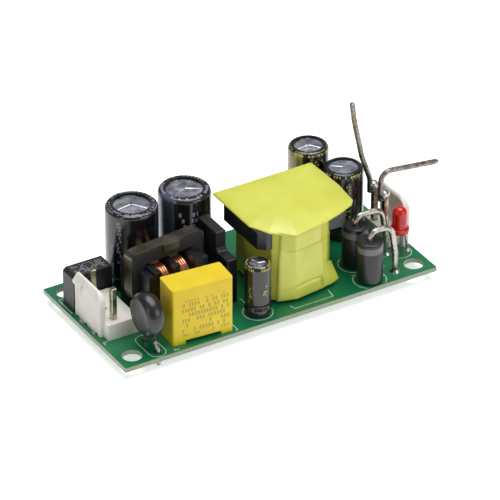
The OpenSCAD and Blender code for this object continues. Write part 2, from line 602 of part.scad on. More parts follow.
// ---- surface mounted parts on the underside
module under(c) translate([c[0], c[1], -board_t]) mirror([0, 0, 1]) children();
module gull(x, y, w, reach, h) {  // leg: foot on the board, riser into the body side
  translate([x - w/2, y, 0]) cube([w, reach, 0.16]);
  translate([x - w/2, y, 0]) cube([w, 0.16, h + 0.16]);
  translate([x - w/2, y - 0.2, h]) cube([w, 0.36, 0.16]);
}
module bridge_body() color("#15161a") place() under(mb_at)
  translate([-mb_l/2, -1.95, 0.15]) cube([mb_l, 3.9, 1.25]);
module bridge_legs() color("#c4c6c8") place() under(mb_at)
  for (a = [0, 180], x = [-1.27, 1.27]) rotate(a) gull(x, 2.15 + gap, 0.65, 0.9, 0.6);
module controller_body() color("#15161a") place() under(ic_at)
  translate([-ic_l/2, -1.95, 0.15]) cube([ic_l, 3.9, 1.35]);
module controller_legs() color("#c4c6c8") place() under(ic_at)
  for (a = [0, 180], i = [0:3]) rotate(a) gull(-1.905 + 1.27*i, 2.15 + gap, 0.42, 0.9, 0.6);
chips = [[34, 12, 0], [36.5, 26, 90], [40, 25, 0], [44, 24, 90], [48, 26, 0], [48, 13, 0]];
module chip_parts() color("#2a2b30") place() for (c = chips) under(c) rotate(c[2])
  translate([-1, -0.62, 0]) cube([2, 1.25, 0.5]);

pcb();
solder_joints();
fuse_body();
fuse_leads();
input_header();
input_pins();
thermistor();
thermistor_leads();
line_capacitor();
line_capacitor_leads();
choke_core();
choke_bobbin();
choke_windings();
choke_clip();
choke_pins();
bulk_a_sleeve();
bulk_a_can();
bulk_b_sleeve();
bulk_b_can();
bulk_leads();
sink_plate();
transformer_core();
transformer_winding();
transformer_rails();
transformer_top_tape();
transformer_front_tape();
transformer_pins();
small_cap_sleeve();
small_cap_can();
small_cap_leads();
out_cap_back_sleeve();
out_cap_back_can();
out_cap_front_sleeve();
out_cap_front_can();
out_cap_leads();
diode_front_body();
diode_front_lead();
diode_back_body();
diode_back_lead();
output_header();
output_pins();
solder_beads();
output_wire_left();
output_wire_right();
led_lens();
led_leads();
bridge_body();
bridge_legs();
controller_body();
controller_legs();
chip_parts();
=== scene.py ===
"""An open frame power supply: one small board with a mains input at its left end, a filter,
tall capacitors, a wrapped transformer and rectifiers, and two bare output wires at its right end.

Every size in the sections is in millimetres from the front left corner of the board's component
side: x to the right, y to the back, z up."""
import math

import bmesh
import bpy
import numpy as np
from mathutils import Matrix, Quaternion, Vector


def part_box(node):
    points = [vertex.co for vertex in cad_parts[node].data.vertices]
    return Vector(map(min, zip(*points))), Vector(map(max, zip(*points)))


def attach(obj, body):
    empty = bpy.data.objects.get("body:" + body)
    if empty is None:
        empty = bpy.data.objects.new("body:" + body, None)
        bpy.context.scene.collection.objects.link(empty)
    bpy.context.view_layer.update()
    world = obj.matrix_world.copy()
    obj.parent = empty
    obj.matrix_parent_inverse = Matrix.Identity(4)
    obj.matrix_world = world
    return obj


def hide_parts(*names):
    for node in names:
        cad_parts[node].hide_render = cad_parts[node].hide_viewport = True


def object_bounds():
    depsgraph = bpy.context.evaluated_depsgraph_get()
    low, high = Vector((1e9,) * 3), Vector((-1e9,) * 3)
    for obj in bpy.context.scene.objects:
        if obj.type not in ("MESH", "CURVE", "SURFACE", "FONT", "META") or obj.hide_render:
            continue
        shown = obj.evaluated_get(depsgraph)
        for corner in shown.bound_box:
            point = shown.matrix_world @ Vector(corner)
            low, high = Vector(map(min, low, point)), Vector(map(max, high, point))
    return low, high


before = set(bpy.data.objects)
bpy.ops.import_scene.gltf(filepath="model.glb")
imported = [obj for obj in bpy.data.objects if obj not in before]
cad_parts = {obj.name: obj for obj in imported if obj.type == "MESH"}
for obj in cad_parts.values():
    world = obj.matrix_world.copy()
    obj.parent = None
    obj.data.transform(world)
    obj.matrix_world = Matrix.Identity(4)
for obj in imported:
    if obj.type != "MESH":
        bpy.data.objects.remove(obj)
cad_low, cad_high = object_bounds()

# ---- Camera
# A long lens from in front and to the left, a third of the way up, as in a catalogue picture.
MM = 0.001
board_low, board_high = (np.array(c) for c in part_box("pcb"))
corner = np.array([board_low[0], board_low[1], board_high[2]])
aim = corner + MM * np.array([41.95, 24.1, 0.0])
turn, rise, roll = math.radians(-30.945), math.radians(32.237), math.radians(0.065)
back = np.array([math.sin(turn) * math.cos(rise), -math.cos(turn) * math.cos(rise), math.sin(rise)])
lens = bpy.data.cameras.new("camera")
lens.sensor_width = 36
lens.lens = 323.1
lens.clip_end = 20
camera = bpy.data.objects.new("camera", lens)
camera.location = aim + 0.8871 * back
camera.rotation_mode = "QUATERNION"
camera.rotation_quaternion = Vector(back).to_track_quat("Z", "Y") @ Quaternion((0, 0, 1), roll)
bpy.context.scene.collection.objects.link(camera)
bpy.context.scene.camera = camera
bpy.context.scene.view_settings.view_transform = "Standard"


# ---- Floor and studio light
# A matt white table under a white sky, with one large soft box above and to the right, one low
# at the front and a narrow one at the left that draws the long highlights on the cans.
def linear(code):
    """Turns an sRGB hex colour into the linear colour a shader takes: each channel c becomes
    c/12.92 below 0.04045, and ((c + 0.055)/1.055) to the power 2.4 above it."""
    c = np.array([int(code[k:k + 2], 16) / 255 for k in (1, 3, 5)])
    return (*np.where(c < 0.04045, c / 12.92, ((c + 0.055) / 1.055) ** 2.4), 1.0)


def add(material, kind, settings=None, **sockets):
    """Adds one shader node. settings are its properties; sockets are its inputs, by name with _
    for a space, or by number as n0, n1; another node's output is linked and a value is set."""
    node = material.node_tree.nodes.new("ShaderNode" + kind)
    for key, value in (settings or {}).items():
        setattr(node, key, value)
    for key, value in sockets.items():
        numbered = key[0] == "n" and key[1:].isdigit()
        socket = node.inputs[int(key[1:]) if numbered else key.replace("_", " ")]
        if isinstance(value, bpy.types.NodeSocket):
            material.node_tree.links.new(value, socket)
        else:
            socket.default_value = value
    return node


def finish_of(name, **sockets):
    """Starts a material named for its real stuff: one Principled shader with these sockets."""
    material = bpy.data.materials.new(name)
    material.use_nodes = True
    shader = material.node_tree.nodes["Principled BSDF"]
    for key, value in sockets.items():
        socket = shader.inputs[key.replace("_", " ")]
        if isinstance(value, bpy.types.NodeSocket):
            material.node_tree.links.new(value, socket)
        else:
            socket.default_value = value
    return material, shader


table, shader = finish_of("matt_white_table", Base_Color=linear("#f2f2f2"), Roughness=0.9,
                          Emission_Color=(1, 1, 1, 1))
seen = add(table, "LightPath")
direct = add(table, "Math", {"operation": "MAXIMUM"}, n0=seen.outputs["Is Camera Ray"],
             n1=seen.outputs["Is Glossy Ray"])
glow = add(table, "Math", {"operation": "MULTIPLY"}, n0=direct.outputs[0], n1=0.6)
table.node_tree.links.new(glow.outputs[0], shader.inputs["Emission Strength"])
floor_mesh = bpy.data.meshes.new("table_top")
reach, floor_z = 1.5, cad_low[2] - 0.0001
floor_corners = [(x, y, floor_z) for x, y in ((-reach, -reach), (reach, -reach), (reach, reach),
                                              (-reach, reach))]
floor_mesh.from_pydata(floor_corners, [], [(0, 1, 2, 3)])
floor = bpy.data.objects.new("table_top", floor_mesh)
bpy.context.scene.collection.objects.link(floor)
floor_mesh.materials.append(table)

world = bpy.data.worlds.new("white_sky")
bpy.context.scene.world = world
world.use_nodes = True
sky = world.node_tree.nodes["Background"]
path = world.node_tree.nodes.new("ShaderNodeLightPath")
sky_level = world.node_tree.nodes.new("ShaderNodeMath")
sky_level.operation = "MULTIPLY_ADD"
sky_level.inputs[1].default_value = 0.75
sky_level.inputs[2].default_value = 0.25
world.node_tree.links.new(path.outputs["Is Camera Ray"], sky_level.inputs[0])
world.node_tree.links.new(sky_level.outputs[0], sky.inputs["Strength"])
sky.inputs["Color"].default_value = (1, 1, 1, 1)


def soft_box(name, place, size, power):
    """A rectangular lamp at place, in metres from the board's middle, that faces the board."""
    lamp = bpy.data.lights.new(name, "AREA")
    lamp.shape = "RECTANGLE"
    lamp.size, lamp.size_y = size
    lamp.energy = power
    holder = bpy.data.objects.new(name, lamp)
    holder.location = place
    holder.rotation_mode = "QUATERNION"
    holder.rotation_quaternion = Vector(place).to_track_quat("Z", "Y")
    bpy.context.scene.collection.objects.link(holder)


soft_box("overhead_box", (0.12, 0.05, 0.75), (0.7, 0.6), 5.6)
soft_box("front_box", (0.35, -0.75, 0.35), (0.5, 0.4), 1.7)
soft_box("left_strip", (-0.75, -0.25, 0.35), (0.12, 0.6), 0.7)


# ---- Board
# A 1 mm glass-epoxy laminate under green solder mask. Its sawn edge is bare and paler, and the
# copper under the mask shows as slightly raised, slightly lighter green.
def ground(material, scale, detail=2.0, rough=0.5):
    """Noise over the piece's own coordinates, with scale in patches for each metre."""
    place = add(material, "TexCoord")
    return add(material, "TexNoise", Vector=place.outputs["Object"], Scale=scale, Detail=detail,
               Roughness=rough)


def relief(material, shader, height, depth_mm, strength=1.0):
    """Lets a height pattern tilt the surface, as if it stood depth_mm proud."""
    bump = add(material, "Bump", Height=height, Strength=strength, Distance=depth_mm * MM)
    material.node_tree.links.new(bump.outputs["Normal"], shader.inputs["Normal"])


def blend_colour(material, factor, first, second):
    """Mixes two colours, each a hex code or another node's output, by a factor from 0 to 1."""
    pick = [linear(c) if isinstance(c, str) else c for c in (first, second)]
    return add(material, "Mix", {"data_type": "RGBA"}, n0=factor, n6=pick[0],
               n7=pick[1]).outputs[2]


def spread(material, value, low, high):
    """Stretches a pattern so that low becomes 0 and high becomes 1."""
    return add(material, "MapRange", Value=value, From_Min=low, From_Max=high).outputs["Result"]


def between(material, value, low, high):
    """1 where value lies between low and high, else 0."""
    over = add(material, "Math", {"operation": "GREATER_THAN"}, n0=value, n1=low)
    under = add(material, "Math", {"operation": "LESS_THAN"}, n0=value, n1=high)
    return add(material, "Math", {"operation": "MULTIPLY"}, n0=over.outputs[0],
               n1=under.outputs[0]).outputs[0]


mask, shader = finish_of("solder_mask_on_glass_epoxy", Roughness=0.32, IOR=1.5, Coat_Weight=0.25,
                         Coat_Roughness=0.15)
where = add(mask, "TexCoord").outputs["Object"]
height = add(mask, "SeparateXYZ", Vector=where).outputs["Z"]
cut_edge = between(mask, height, 0.05 * MM, board_high[2] - 0.05 * MM)
cloud = ground(mask, 180).outputs["Fac"]
islands = add(mask, "TexVoronoi", {"distance": "CHEBYCHEV", "feature": "F2"}, Vector=where,
              Scale=170, Randomness=0.8).outputs["Distance"]
copper = spread(mask, islands, 0.42, 0.46)
green = blend_colour(mask, copper, "#0a6a42", "#0d7548")
green = blend_colour(mask, spread(mask, cloud, 0.3, 0.7), green, "#0b6f45")
fibre = ground(mask, 4000, 4).outputs["Fac"]
edge = blend_colour(mask, fibre, "#7f8f74", "#a9ae92")
mask.node_tree.links.new(blend_colour(mask, cut_edge, green, edge), shader.inputs["Base Color"])
relief(mask, shader, copper, 0.02, 0.5)
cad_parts["pcb"].material_slots[0].material = mask


# ---- Printed legend
# White epoxy ink on the mask: part outlines, and L and N beside the mains pins.
def join_strokes(name, lines, width, z):
    """Flat ribbons along lines of points. Each point moves half a width to either side, along
    the line's own normal there, which is its direction turned a quarter."""
    points, faces, start = [], [], 0
    for line in lines:
        line = np.array(line, float)
        run = np.gradient(line, axis=0)
        side = np.stack([-run[:, 1], run[:, 0]], 1)
        side *= width / 2 / np.linalg.norm(side, axis=1)[:, None]
        n = len(line)
        flat = np.concatenate([line - side, line + side])
        points.append(np.column_stack([flat, np.full(2 * n, z)]))
        k = np.arange(n - 1) + start
        faces.append(np.stack([k, k + 1, k + 1 + n, k + n], 1))
        start += 2 * n
    mesh = bpy.data.meshes.new(name)
    mesh.from_pydata((corner + np.concatenate(points) * MM).tolist(), [],
                     np.concatenate(faces).tolist())
    made = bpy.data.objects.new(name, mesh)
    bpy.context.scene.collection.objects.link(made)
    return made


def straight_line(*points):
    """Points every 0.2 mm or so along straight stretches, so that corners stay sharp."""
    out = []
    for a, b in zip(points[:-1], points[1:]):
        out.append(np.linspace(a, b, 12)[:-1])
    return np.concatenate(out + [[points[-1]]])


def arc(centre, radius, start, end):
    """Points on a circle from one angle to another, in degrees."""
    a = np.radians(np.linspace(start, end, 60))
    return np.stack([centre[0] + radius * np.cos(a), centre[1] + radius * np.sin(a)], 1)


def join(*parts):
    return np.concatenate(parts)


def fit(piece, material, slot, *nodes):
    """Finishes a piece: its material, the body it rides on and the nodes it shows; slot is not
    used.
    """
    piece.data.materials.clear()
    piece.data.materials.append(material)
    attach(piece, "root")
    if nodes:
        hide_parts(*nodes)
    return piece


def middle_of(node):
    """Centre of a node's box, and half its size, in board millimetres."""
    low, high = (np.array(c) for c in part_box(node))
    return ((low + high) / 2 - corner) / MM, (high - low) / 2 / MM


small_mid = middle_of("small_cap_sleeve")[0]
front_diode = middle_of("diode_front_body")[0]
back_diode = middle_of("diode_back_body")[0]
lamp_mid = middle_of("led_lens")[0]
stadium = join(arc((8.0, 6.7), 1.75, 0, 180), arc((8.0, 1.95), 1.75, 180, 360), [[9.75, 6.7]])
letter_n = straight_line((9.3, 9.35), (10.3, 9.35), (9.3, 10.1), (10.3, 10.1))
letter_l = straight_line((11.2, 22.6), (10.2, 22.6), (10.2, 23.2))
legend_lines = [
    stadium,
    straight_line((38.2, 2.7), (38.5, 1.4), (47.2, 1.4), (47.5, 3.8)),
    straight_line((0.75, 9.0), (0.75, 9.9), (1.6, 9.9)),
    straight_line((0.75, 13.2), (0.75, 14.3)), straight_line((0.75, 18.0), (0.75, 19.2)),
    straight_line((0.6, 21.9), (0.6, 27.4), (10.6, 27.4)),
    straight_line((11.3, 1.1), (11.3, 0.6), (12.2, 0.6)),
    straight_line((24.6, 0.6), (25.2, 0.6), (25.2, 8.0)),
    straight_line((31.2, 7.7), (31.2, 10.0)),
    straight_line((26.4, 9.6), (26.4, 12.4), (27.4, 12.4)),
    straight_line((32.6, 21.6), (34.0, 21.6), (34.0, 24.5)),
    arc(small_mid[:2], 2.95, 0, 360), arc(front_diode[:2], 3.3, 120, 230),
    arc(front_diode[:2], 3.3, -50, 60),
    arc(back_diode[:2], 3.3, 120, 420), arc(lamp_mid[:2] + [0.2, 0], 2.3, -150, 60),
    straight_line((54.1, 6.0), (55.2, 5.3), (55.9, 6.2)),
    straight_line((60.3, 5.6), (61.8, 5.6)), straight_line((61.05, 4.9), (61.05, 6.3)),
    straight_line((53.0, 22.2), (53.0, 17.0)), letter_n, letter_l,
]
ink, shader = finish_of("white_legend_ink", Roughness=0.55)
worn = spread(ink, ground(ink, 1500, 3).outputs["Fac"], 0.3, 0.6)
ink.node_tree.links.new(blend_colour(ink, worn, "#8fbfa8", "#dfe9e2"), shader.inputs["Base Color"])
fit(join_strokes("printed_legend", legend_lines, 0.17, 0.012), ink, "board_laminate")


# ---- Solder joints
# Tin alloy that wetted each lead and pad in the wave; bright, with a slightly rippled skin.
def metal(name, dark, light, rough, grain, depth=0.01):
    """A bare metal with a blotchy skin: colour between dark and light, roughness that follows
    the same patches, and shallow relief of grain patches for each metre."""
    made, top = finish_of(name, Metallic=1.0)
    patches = ground(made, grain, 3).outputs["Fac"]
    level = spread(made, patches, 0.3, 0.7)
    made.node_tree.links.new(blend_colour(made, level, dark, light), top.inputs["Base Color"])
    gloss = add(made, "MapRange", Value=patches, From_Min=0.3, From_Max=0.7, To_Min=rough * 0.8,
                To_Max=rough * 1.25)
    made.node_tree.links.new(gloss.outputs["Result"], top.inputs["Roughness"])
    relief(made, top, patches, depth, 0.6)
    return made


solder = metal("bright_solder", "#a9a8a6", "#d5d6d8", 0.28, 1800)
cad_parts["solder_joints"].material_slots[0].material = solder
tinned = metal("tinned_copper_lead", "#8d887e", "#c9c6be", 0.3, 1500)
for name in ("fuse_leads", "line_capacitor_leads", "choke_pins", "bulk_leads", "transformer_pins",
             "small_cap_leads", "out_cap_leads", "bridge_legs", "controller_legs"):
    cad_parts[name].material_slots[0].material = tinned


# ---- Input header
# One moulding of natural nylon: a base with two square tinned pins and a locking wall at the
# board's end whose lip holds the plug down.
def eased(node, name, width, angle=30, segments=3):
    """A copy of a CAD node with its loose triangles joined, flat neighbours merged, and every
    edge sharper than angle rounded over width millimetres."""
    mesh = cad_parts[node].data.copy()
    mesh.name = name
    work = bmesh.new()
    work.from_mesh(mesh)
    bmesh.ops.remove_doubles(work, verts=work.verts, dist=2e-6)
    bmesh.ops.dissolve_limit(work, angle_limit=math.radians(1.5), verts=work.verts,
                             edges=work.edges)
    work.to_mesh(mesh)
    work.free()
    if "custom_normal" in mesh.attributes:
        mesh.attributes.remove(mesh.attributes["custom_normal"])
    mesh.shade_smooth()
    made = bpy.data.objects.new(name, mesh)
    bpy.context.scene.collection.objects.link(made)
    round_off = made.modifiers.new("rounded_edges", "BEVEL")
    round_off.width = width * MM
    round_off.segments = segments
    round_off.limit_method = "ANGLE"
    round_off.angle_limit = math.radians(angle)
    round_off.harden_normals = True
    return made


nylon, shader = finish_of("natural_nylon", Roughness=0.38, IOR=1.53, Subsurface_Weight=0.25,
                          Subsurface_Scale=0.0015)
flow = spread(nylon, ground(nylon, 260).outputs["Fac"], 0.3, 0.7)
nylon.node_tree.links.new(blend_colour(nylon, flow, "#e2dfd3", "#efede6"),
                          shader.inputs["Base Color"])
relief(nylon, shader, ground(nylon, 5000, 3).outputs["Fac"], 0.01, 0.4)
fit(eased("input_header", "input_header_moulding", 0.14), nylon, "white_nylon", "input_header")
fit(eased("output_header", "output_header_moulding", 0.14), nylon, "white_nylon", "output_header")
pin_tin = metal("tinned_brass_pin", "#8f8a76", "#cfc8b2", 0.22, 1200)
fit(eased("input_pins", "input_pins_tinned", 0.16), pin_tin, "header_pin", "input_pins")
fit(eased("output_pins", "output_pins_tinned", 0.16), pin_tin, "header_pin", "output_pins")

# ---- Fuse
# A small square-cornered cartridge: glass-filled black plastic box on two leads, with a rating
# printed in fine grey rows on its top.
moulded, shader = finish_of("black_moulded_plastic", Roughness=0.48, IOR=1.5)
streak = spread(moulded, ground(moulded, 500).outputs["Fac"], 0.3, 0.7)
moulded.node_tree.links.new(blend_colour(moulded, streak, "#15161b", "#1d1e24"),
                            shader.inputs["Base Color"])
relief(moulded, shader, ground(moulded, 9000, 2).outputs["Fac"], 0.02, 0.6)


def rows_of_marks(material, vector, width, height, share):
    """Print too fine to read, as rows of small marks: bricks width by height in millimetres, of
    which about this share is inked. The value is 1 on ink."""
    bricks = add(material, "TexBrick", {"offset": 0.37}, Vector=vector, Color1=(0, 0, 0, 1),
                 Color2=(1, 1, 1, 1), Mortar=(0, 0, 0, 1), Scale=1.0, Mortar_Size=width * 0.22,
                 Mortar_Smooth=0.1, Bias=0.0, Brick_Width=width, Row_Height=height)
    return add(material, "Math", {"operation": "GREATER_THAN"}, n0=bricks.outputs["Color"],
               n1=1 - share).outputs[0]


fuse_mid, fuse_half = middle_of("fuse_body")
case, shader = finish_of("black_case_with_fine_print", Roughness=0.45, IOR=1.5)
where = add(case, "TexCoord").outputs["Object"]
local = add(case, "Mapping", Vector=where, Location=tuple(-(corner / MM + fuse_mid)),
            Scale=(1000, 1000, 1000)).outputs["Vector"]
axes = add(case, "SeparateXYZ", Vector=local)
inside = add(case, "Math", {"operation": "MULTIPLY"},
             n0=between(case, axes.outputs["X"], -3.1, 3.6),
             n1=between(case, axes.outputs["Y"], -1.5, 1.5)).outputs[0]
on_top = add(case, "Math", {"operation": "MULTIPLY"}, n0=inside,
             n1=between(case, axes.outputs["Z"], fuse_half[2] - 0.03, fuse_half[2] + 1)).outputs[0]
marks = add(case, "Math", {"operation": "MULTIPLY"}, n0=on_top,
            n1=rows_of_marks(case, local, 0.34, 0.62, 0.62)).outputs[0]
case.node_tree.links.new(blend_colour(case, marks, "#1a1b21", "#8f9096"),
                         shader.inputs["Base Color"])
relief(case, shader, ground(case, 7000, 2).outputs["Fac"], 0.02, 0.6)
fit(eased("fuse_body", "fuse_case", 0.22), case, "black_plastic", "fuse_body")

# ---- Thermistor
# A ceramic disc dipped in black epoxy that has run a little way down both of its bent leads.
def surface(name, grid, close_u=False, close_v=False, caps=False):
    """A mesh over a grid of points in board millimetres, rows by columns. Each face joins four
    neighbours; a closed direction joins its last line to its first; caps fill the first and
    last rows. The UV map is the distance in millimetres along a row and along a column."""
    rows, cols = grid.shape[:2]
    i, j = np.meshgrid(np.arange(rows if close_v else rows - 1),
                       np.arange(cols if close_u else cols - 1), indexing="ij")
    i, j = i.ravel(), j.ravel()
    a, b = (i + 1) % rows, (j + 1) % cols
    faces = np.stack([i * cols + j, i * cols + b, a * cols + b, a * cols + j], 1).tolist()
    if caps:
        faces += [list(range(cols - 1, -1, -1)), list(range((rows - 1) * cols, rows * cols))]
    mesh = bpy.data.meshes.new(name)
    mesh.from_pydata((corner + grid.reshape(-1, 3) * MM).tolist(), [], faces)
    ring = np.concatenate([grid, grid[:, :1]], 1)
    post = np.concatenate([grid, grid[:1]], 0)
    u = np.concatenate([[0], np.cumsum(np.linalg.norm(np.diff(ring, axis=1), axis=2).max(0))])
    v = np.concatenate([[0], np.cumsum(np.linalg.norm(np.diff(post, axis=0), axis=2).max(1))])
    corners = np.stack([u[j], v[i], u[j + 1], v[i], u[j + 1], v[i + 1], u[j], v[i + 1]], 1)
    flat = np.zeros((len(mesh.loops), 2))
    flat[:len(corners) * 4] = corners.reshape(-1, 2)
    mesh.uv_layers.new(name="skin").data.foreach_set("uv", flat.ravel())
    work = bmesh.new()
    work.from_mesh(mesh)
    bmesh.ops.remove_doubles(work, verts=work.verts, dist=1e-7)
    bmesh.ops.recalc_face_normals(work, faces=work.faces)
    work.to_mesh(mesh)
    work.free()
    mesh.shade_smooth()
    mesh.set_sharp_from_angle(angle=math.radians(38))
    made = bpy.data.objects.new(name, mesh)
    bpy.context.scene.collection.objects.link(made)
    return made


def bends(points, radii, steps=10):
    """A line through points whose inner corners become arcs: each arc starts where it is
    radius / tan(half the corner's angle) short of the corner and turns at a steady rate."""
    points = [np.array(p, float) for p in points]
    out = [points[0][None]]
    for before, here, after, r in zip(points, points[1:], points[2:], radii):
        u = (before - here) / np.linalg.norm(before - here)
        v = (after - here) / np.linalg.norm(after - here)
        half = math.acos(np.clip(u @ v, -1, 1)) / 2
        middle = here + (u + v) / np.linalg.norm(u + v) * r / math.sin(half)
        first = here + u * r / math.tan(half) - middle
        last = here + v * r / math.tan(half) - middle
        t = np.linspace(0, 1, steps)[:, None]
        span = math.pi - 2 * half
        out.append(middle + (np.sin((1 - t) * span) * first + np.sin(t * span) * last)
                   / math.sin(span))
    return np.concatenate(out + [points[-1][None]])


def turned(name, profile, centre, sides=96, close=False, axis="Z"):
    """A shape from the lathe: each profile point (radius, height) goes round the centre, at
    centre + radius * (cos, sin) across the axis and height along it."""
    r, h = np.array(profile, float).T[:, :, None]
    a = np.linspace(0, 2 * math.pi, sides, endpoint=False)[None]
    wide, deep, tall = r * np.cos(a), r * np.sin(a), h + 0 * a
    turns = {"Z": (wide, deep, tall), "X": (tall, wide, deep)}[axis]
    grid = np.stack(turns, 2) + np.array(centre)
    return surface(name, grid, close_u=True, close_v=close)


def drawn(name, path, diameter, across, sides=16, flatten=None):
    """Round wire drawn along a path: a ring of points in the plane of (direction x across) and
    their cross product, half the diameter from each point of the path. flatten scales the
    diameter at each point."""
    path = np.array(path, float)
    run = np.gradient(path, axis=0)
    run /= np.linalg.norm(run, axis=1)[:, None]
    side = np.cross(run, np.broadcast_to(np.array(across, float), run.shape))
    side /= np.linalg.norm(side, axis=1)[:, None]
    up = np.cross(side, run)
    a = np.linspace(0, 2 * math.pi, sides, endpoint=False)[None, :, None]
    r = diameter / 2 * (1 if flatten is None else np.array(flatten)[:, None, None])
    grid = path[:, None] + r * (np.cos(a) * side[:, None] + np.sin(a) * up[:, None])
    return surface(name, grid, close_u=True, caps=True)


def group(name, pieces):
    """Joins pieces that share a material into one object."""
    work = bmesh.new()
    for piece in pieces:
        work.from_mesh(piece.data)
        bpy.data.objects.remove(piece)
    mesh = bpy.data.meshes.new(name)
    work.to_mesh(mesh)
    work.free()
    made = bpy.data.objects.new(name, mesh)
    bpy.context.scene.collection.objects.link(made)
    return made


disc_mid, disc_half = middle_of("thermistor")
half_t, disc_r = disc_half[0], disc_half[2]
swell = np.linspace(-math.pi / 2, math.pi / 2, 17)
rim = np.stack([disc_r - 1.5 + 1.5 * np.cos(swell), half_t * np.sin(swell)], 1)
disc_profile = np.concatenate([[[0, -half_t + 0.12]], [[disc_r - 2.6, -half_t + 0.05]], rim,
                               [[disc_r - 2.6, half_t - 0.05]], [[0, half_t - 0.12]]])
pin_end_z = -2.7                                    # where each lead is cut below the board
ntc_x = 8.1
ends = ((1.55, 0.6, 4.15, 3.4), (6.55, 1.0, 5.75, 3.5))  # pad y, knee z, y and z in the disc
wires, runs = [], []
for y, knee, end_y, end_z in ends:
    line = bends([(ntc_x, y, pin_end_z), (ntc_x, y, knee), (ntc_x, end_y, end_z)], [0.8])
    wires.append(drawn("lead", line, 0.8, (1, 0, 0)))
    top = line[-1]
    step = (line[-2] - top) / np.linalg.norm(line[-2] - top)
    down = top + step * np.linspace(0, 2.1, 14)[:, None]
    runs.append(drawn("run", down, 1.0, (1, 0, 0), 16, np.linspace(1.9, 0.86, 14) ** 0.8))
dipped, shader = finish_of("black_epoxy_dip", Roughness=0.34, IOR=1.52, Coat_Weight=0.3,
                           Coat_Roughness=0.2)
lumps = ground(dipped, 420, 3).outputs["Fac"]
dipped.node_tree.links.new(blend_colour(dipped, spread(dipped, lumps, 0.3, 0.7), "#0b0c10",
                                        "#14161b"), shader.inputs["Base Color"])
relief(dipped, shader, lumps, 0.12, 0.7)
body = turned("disc", disc_profile, disc_mid, axis="X")
fit(group("thermistor_disc", [body] + runs), dipped, "black_coating", "thermistor")
fit(group("thermistor_wires", wires), tinned, "tinned_lead", "thermistor_leads")

# ---- Line capacitor
# Film capacitor in a bright yellow moulded box on small feet, filled from below with epoxy, and
# printed in grey-brown on its front.
lean = math.radians(-4.7)
yellow, shader = finish_of("yellow_moulded_box", Roughness=0.36, IOR=1.5, Subsurface_Weight=0.08,
                           Subsurface_Scale=0.001)
where = add(yellow, "TexCoord").outputs["Object"]
local = add(yellow, "Mapping", {"vector_type": "TEXTURE"}, Vector=where,
            Location=tuple(corner + MM * np.array([18.15, 4.35, 0])), Rotation=(0, 0, lean),
            Scale=(MM, MM, MM)).outputs["Vector"]
axes = add(yellow, "SeparateXYZ", Vector=local)
upright = add(yellow, "CombineXYZ", X=axes.outputs["X"], Y=axes.outputs["Z"]).outputs["Vector"]
face = between(yellow, axes.outputs["Y"], -4, -2.9)
print_area = add(yellow, "Math", {"operation": "MULTIPLY"}, n0=face,
                 n1=between(yellow, axes.outputs["X"], -4.4, 5.4)).outputs[0]
print_area = add(yellow, "Math", {"operation": "MULTIPLY"}, n0=print_area,
                 n1=between(yellow, axes.outputs["Z"], 1.6, 9.6)).outputs[0]
marks = add(yellow, "Math", {"operation": "MULTIPLY"}, n0=print_area,
            n1=rows_of_marks(yellow, upright, 0.62, 1.14, 0.66)).outputs[0]
marks = add(yellow, "Math", {"operation": "MULTIPLY"}, n0=marks, n1=0.55).outputs[0]
flow = spread(yellow, ground(yellow, 240, 3).outputs["Fac"], 0.3, 0.7)
plain = blend_colour(yellow, flow, "#e4c719", "#ecd125")
yellow.node_tree.links.new(blend_colour(yellow, marks, plain, "#7d6a3a"),
                           shader.inputs["Base Color"])
relief(yellow, shader, ground(yellow, 6000, 2).outputs["Fac"], 0.015, 0.5)
fit(eased("line_capacitor", "line_capacitor_box", 0.3, segments=4), yellow, "yellow_case",
    "line_capacitor")

# ---- Common mode choke
# A closed ferrite frame on edge, a black bobbin on its lower leg with two windings of enamelled
# copper, and a spring steel clip folded over the frame.
ferrite, shader = finish_of("black_ferrite", Roughness=0.55, IOR=1.6)
grit = ground(ferrite, 6000, 4).outputs["Fac"]
ferrite.node_tree.links.new(blend_colour(ferrite, spread(ferrite, grit, 0.35, 0.65), "#17181c",
                                         "#25272c"), shader.inputs["Base Color"])
relief(ferrite, shader, grit, 0.02, 0.6)
fit(eased("choke_core", "choke_ferrite", 0.12), ferrite, "ferrite", "choke_core")
gloss_black, shader = finish_of("black_nylon_bobbin", Roughness=0.3, IOR=1.53)
flow = spread(gloss_black, ground(gloss_black, 300).outputs["Fac"], 0.3, 0.7)
gloss_black.node_tree.links.new(blend_colour(gloss_black, flow, "#131418", "#1c1d22"),
                                shader.inputs["Base Color"])
relief(gloss_black, shader, ground(gloss_black, 2500, 2).outputs["Fac"], 0.02, 0.5)
fit(eased("choke_bobbin", "choke_bobbin_moulding", 0.22), gloss_black, "black_plastic",
    "choke_bobbin")
clip_steel = metal("rolled_spring_steel", "#5a564c", "#736e62", 0.3, 260)
fit(eased("choke_clip", "choke_clip_steel", 0.09), clip_steel, "spring_steel", "choke_clip")

